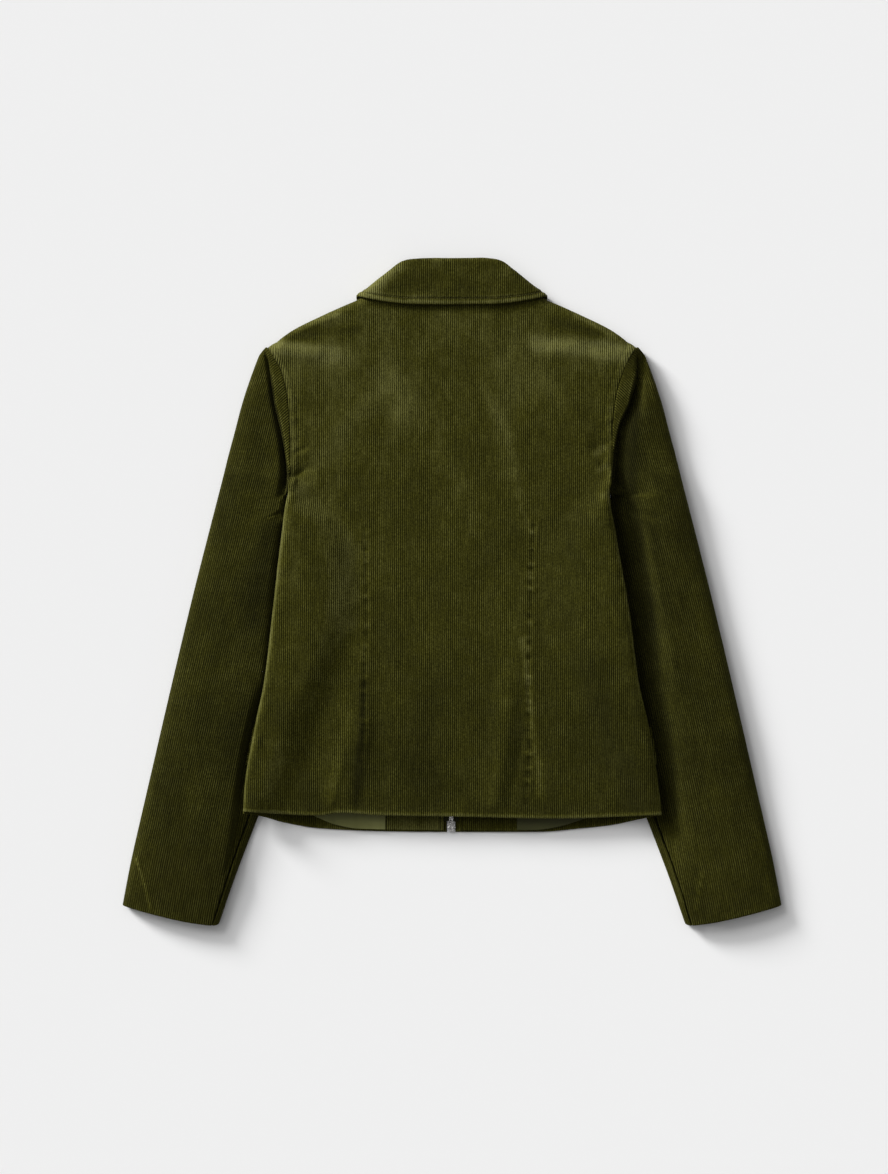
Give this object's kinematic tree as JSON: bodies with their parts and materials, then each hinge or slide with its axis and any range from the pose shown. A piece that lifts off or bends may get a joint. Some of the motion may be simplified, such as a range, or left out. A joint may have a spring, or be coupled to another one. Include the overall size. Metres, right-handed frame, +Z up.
{
  "type": "corduroy jacket",
  "caption": "Short corduroy jacket with a zipped front, a turned-down collar and long set-in sleeves, laid flat with its back up.",
  "frame": {"origin": "bottom centre of the bounding box, on the surface that the jacket lies on", "axes": "+X to the right seen from above, +Y towards the collar, +Z up, out of the back panel"},
  "size_m": [0.7108, 0.7188, 0.0287],
  "materials": {
    "corduroy": "matte ribbed pile, dark olive",
    "lining": "soft satin weave, sage",
    "zip_tape": "matte woven tape",
    "zip_metal": "plated, semi-bright"
  },
  "bodies": {
    "jacket": {"back": "corduroy", "front_left": "corduroy", "front_right": "corduroy", "sleeve_top_left": "corduroy", "sleeve_top_right": "corduroy", "sleeve_under_left": "corduroy", "sleeve_under_right": "corduroy", "collar": "corduroy", "facing_left": "corduroy", "facing_right": "corduroy", "pocket_welt_left": "corduroy", "pocket_welt_right": "corduroy", "lining_left": "lining", "lining_right": "lining", "zip_tape_left": "zip_tape", "zip_tape_right": "zip_tape", "zip_slider": "zip_metal", "zip_box": "zip_metal"},
    "pull": {"zip_pull": "zip_metal"}
  },
  "joints": [
    {"name": "zip_pull_hinge", "type": "hinge", "parent": "jacket", "child": "pull", "pos_m": [-0.001, -0.2496, 0.0059], "axis": [1, 0, 0], "range_deg": [0, 150]}
  ]
}
